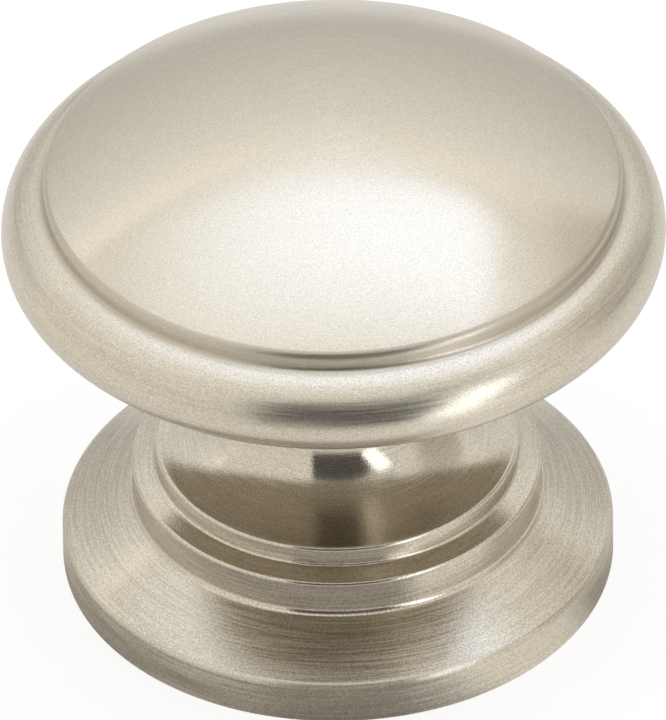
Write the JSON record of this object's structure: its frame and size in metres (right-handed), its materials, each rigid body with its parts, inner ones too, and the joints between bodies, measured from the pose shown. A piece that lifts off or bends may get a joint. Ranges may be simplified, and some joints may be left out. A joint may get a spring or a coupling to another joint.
{
  "type": "cabinet knob",
  "caption": "Round mushroom-shaped cabinet knob with a domed head, waisted neck, stepped collars and a wide flat base plate, tapped from behind for a machine screw.",
  "frame": {"origin": "centre of the back face, on the knob's axis, in the plane that bears on the door or drawer front", "axes": "+Z along the knob's axis from the back face out through the head; X and Y in the plane of the door or drawer front"},
  "size_m": [0.032, 0.032, 0.027],
  "materials": {
    "satin_nickel": "satin nickel plate, circular brushed, over a zinc die casting"
  },
  "bodies": {
    "root": {"knob": "satin_nickel"}
  },
  "joints": []
}
